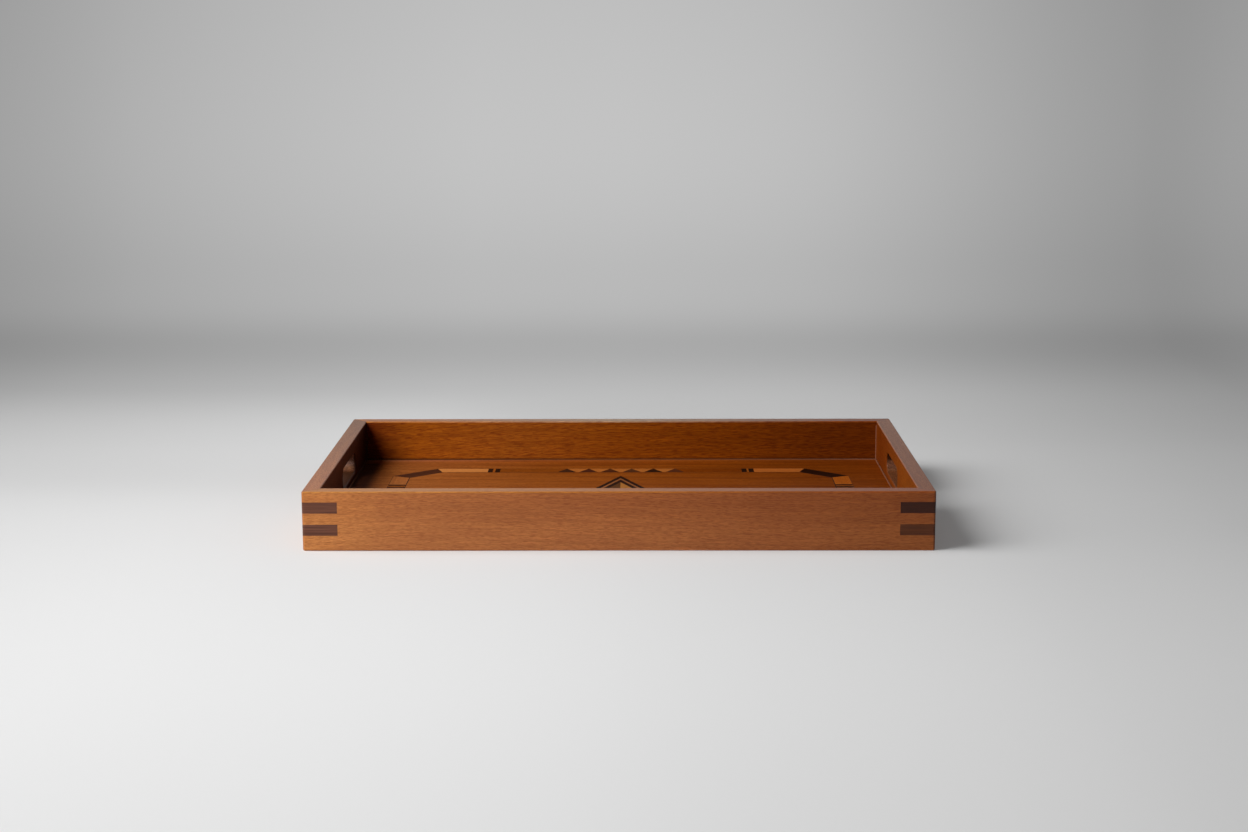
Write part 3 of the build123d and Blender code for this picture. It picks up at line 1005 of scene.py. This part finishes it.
# The studio: a pale sheet lies flat under the tray and sweeps up behind it. Far from the tray it
# shows its written tone, and near the tray it takes light and the tray's shadow.
sheet_near = -40.0
sheet_bend = 0.85
sheet_bend_radius = 0.2
sheet_half_width = 40.0
sheet_top = 3.0
sheet_bend_steps = 24

sheet_rows = [(sheet_near, 0.0)]
for step in range(sheet_bend_steps + 1):
    turned = pi / 2 * step / sheet_bend_steps
    sheet_rows.append(
        (sheet_bend + sheet_bend_radius * sin(turned), sheet_bend_radius * (1 - cos(turned)))
    )
sheet_rows.append((sheet_bend + sheet_bend_radius, sheet_top))
sheet_mesh = bmesh.new()
edges = []
for y, z in sheet_rows:
    left = sheet_mesh.verts.new((-sheet_half_width, y, z))
    right = sheet_mesh.verts.new((sheet_half_width, y, z))
    edges.append((left, right))
for (left, right), (far_left, far_right) in zip(edges, edges[1:]):
    sheet_mesh.faces.new((left, right, far_right, far_left)).smooth = True
sheet_data = bpy.data.meshes.new("studio_sheet")
sheet_mesh.to_mesh(sheet_data)
sheet_mesh.free()
sheet = bpy.data.objects.new("studio_sheet", sheet_data)
bpy.context.scene.collection.objects.link(sheet)


def tones(tree, value, low, high, stops):
    """A smooth run of brightness over a range, given as (share of the range, brightness)."""
    greys = [(share, (brightness, brightness, brightness, 1)) for share, brightness in stops]
    return colour_ramp(tree, value, low, high, greys, "CARDINAL")


def seen_directly(tree):
    """1 for what the camera sees, in gloss and through glass too, and 0 for bounced light."""
    ray = tree.nodes.new("ShaderNodeLightPath").outputs
    seen = work_out(tree, "MAXIMUM", ray["Is Camera Ray"], ray["Is Glossy Ray"])
    return work_out(tree, "MAXIMUM", seen, ray["Is Transmission Ray"])


# The sheet's tone, along its length and up the backdrop, and across it, near and far
length_low, length_high = -0.8, 1.6
length_tones = (
    (0.0, 0.71),
    (0.14, 0.75),
    (0.27, 0.71),
    (0.36, 0.65),
    (0.45, 0.567),
    (0.57, 0.50),
    (0.71, 0.405),
    (0.757, 0.47),
    (0.81, 0.50),
    (0.88, 0.545),
    (1.0, 0.50),
)
across_half = 1.0
near_tones = (
    (0.0, 0.94),
    (0.22, 0.96),
    (0.34, 0.985),
    (0.5, 0.868),
    (0.64, 0.69),
    (0.76, 0.545),
    (1.0, 0.43),
)
far_tones = (
    (0.0, 0.58),
    (0.17, 0.80),
    (0.40, 1.0),
    (0.50, 1.0),
    (0.66, 0.88),
    (0.84, 0.605),
    (0.92, 0.63),
)
near_gain = 1.12
blend_start, blend_end = -0.1, 0.4
pool_start, pool_middle, pool_end = 0.07, 0.35, 0.62
pool_edge = -0.3
pool_gain = 0.21
glow_start, glow_end = 0.32, 0.62
side_glow_start, side_glow_end = 0.6, 0.9
least_glow = 0.13
bounce_loss = 0.45
paper_roughness = 0.9
paper_shine = 0.1

sheet_material = bpy.data.materials.new("studio_sheet")
sheet_material.use_nodes = True
tree = sheet_material.node_tree
tree.nodes.new("ShaderNodeTexCoord")
x, y, z = split_place(tree)
along = work_out(tree, "ADD", y, z)
length_tone = tones(tree, along, length_low, length_high, length_tones)
near_tone = tones(tree, x, -across_half, across_half, near_tones)
near_tone = work_out(tree, "MULTIPLY", near_tone, near_gain)
far_tone = tones(tree, x, -across_half, across_half, far_tones)
distance_share = rescale(tree, along, blend_start, blend_end)
across_tone = mix_colours(tree, distance_share, near_tone, far_tone)
tone = mix_colours(tree, 1.0, length_tone, across_tone, blend="MULTIPLY")
# A pool of light lies behind the tray on the left
pool = rescale(tree, along, pool_start, pool_middle)
pool = work_out(tree, "MULTIPLY", pool, rescale(tree, along, pool_middle, pool_end, 1.0, 0.0))
pool = work_out(tree, "MULTIPLY", pool, rescale(tree, x, pool_edge, 0.0, 1.0, 0.0))
pool = work_out(tree, "ADD", work_out(tree, "MULTIPLY", pool, pool_gain), 1.0)
tone = mix_colours(tree, 1.0, tone, pool, blend="MULTIPLY")
# The paper is darker to bounced light, so that it doesn't light the tray too much
paper = tree.nodes["Principled BSDF"]
bounced = tree.nodes.new("ShaderNodeLightPath").outputs["Is Diffuse Ray"]
loss = work_out(tree, "MULTIPLY", bounced, bounce_loss)
paper_tone = mix_colours(tree, loss, tone, (0, 0, 0, 1))
tree.links.new(paper_tone, paper.inputs["Base Color"])
paper.inputs["Roughness"].default_value = paper_roughness
paper.inputs["Specular IOR Level"].default_value = paper_shine
glow = tree.nodes.new("ShaderNodeEmission")
tree.links.new(tone, glow.inputs["Color"])
far_share = rescale(tree, along, glow_start, glow_end)
side_share = rescale(tree, work_out(tree, "ABSOLUTE", x), side_glow_start, side_glow_end)
glow_share = work_out(tree, "MAXIMUM", far_share, side_share)
glow_share = work_out(tree, "MAXIMUM", glow_share, least_glow)
glow_share = work_out(tree, "MULTIPLY", seen_directly(tree), glow_share)
mixed = tree.nodes.new("ShaderNodeMixShader")
tree.links.new(glow_share, mixed.inputs[0])
tree.links.new(paper.outputs[0], mixed.inputs[1])
tree.links.new(glow.outputs[0], mixed.inputs[2])
# From behind and from below the sheet is clear, so it never hides the tray
clear = tree.nodes.new("ShaderNodeBsdfTransparent")
side_seen = tree.nodes.new("ShaderNodeNewGeometry")
one_sided = tree.nodes.new("ShaderNodeMixShader")
tree.links.new(side_seen.outputs["Backfacing"], one_sided.inputs[0])
tree.links.new(mixed.outputs[0], one_sided.inputs[1])
tree.links.new(clear.outputs[0], one_sided.inputs[2])
tree.links.new(one_sided.outputs[0], tree.nodes["Material Output"].inputs["Surface"])
sheet_data.materials.append(sheet_material)


# The lamps. A soft box high on the left lights the tray, a weak low one behind it lifts the far
# walls, and one below lifts the underside. None of them falls on the sheet.
tray_pieces = bpy.data.collections.new("tray_pieces")
for piece in (*nodes.values(), bead):
    tray_pieces.objects.link(piece)


def hang_lamp(name, place, target, size, power, shades=None):
    """A soft box at a place, turned to face a target, that lights the tray alone. Where shades are
    given, only they throw shadows in its light."""
    lamp = bpy.data.lights.new(name, "AREA")
    lamp.shape = "DISK"
    lamp.size = size
    lamp.energy = power
    box = bpy.data.objects.new(name, lamp)
    box.location = place
    box.rotation_euler = (Vector(target) - Vector(place)).to_track_quat("-Z", "Y").to_euler()
    box.light_linking.receiver_collection = tray_pieces
    if shades:
        box.light_linking.blocker_collection = shades
    bpy.context.scene.collection.objects.link(box)


hang_lamp("key_lamp", place=(-0.7, -0.6, 0.6), target=(0, 0, 0), size=0.55, power=10.3)
hang_lamp("fill_lamp", place=(0.9, 0.9, 0.03), target=(0, 0, 0.03), size=0.4, power=3.0)
hang_lamp(
    "under_lamp", place=(0, 0, -0.9), target=(0, 0, 0), size=0.25, power=2.8, shades=tray_pieces
)


# The sheet has a light of its own, which falls on nothing else. Most of it is a low soft sun from
# the left, which throws the tray's short shadow, and the rest comes from all over the ceiling and
# leaves the floor a little darker round the tray's foot.
stage_pieces = bpy.data.collections.new("stage_pieces")
stage_pieces.objects.link(sheet)
sun_share, ceiling_share = 0.8, 0.24
sheet_lights = {
    "sheet_sun": (Vector((1.0, 0.22, -0.78)), radians(42), sun_share),
    "sheet_ceiling": (Vector((0, 0, -1)), radians(150), ceiling_share),
}
for light_name, (direction, spread, share) in sheet_lights.items():
    light = bpy.data.lights.new(light_name, "SUN")
    light.energy = share * pi / abs(direction.normalized().z)
    light.angle = spread
    light_object = bpy.data.objects.new(light_name, light)
    light_object.rotation_euler = direction.to_track_quat("-Z", "Y").to_euler()
    light_object.light_linking.receiver_collection = stage_pieces
    bpy.context.scene.collection.objects.link(light_object)


# The room adds a very little light from all round, and is seen as a plain mid grey past the sheet
# and in the varnish.
room_light = 0.012
room_seen = 0.34
world = bpy.data.worlds.new("studio_room")
world.use_nodes = True
tree = world.node_tree
strength = rescale(tree, seen_directly(tree), 0.0, 1.0, room_light, room_seen)
tree.nodes["Background"].inputs["Color"].default_value = (1, 1, 1, 1)
tree.links.new(strength, tree.nodes["Background"].inputs["Strength"])
bpy.context.scene.world = world

bpy.context.scene.view_settings.view_transform = "Standard"
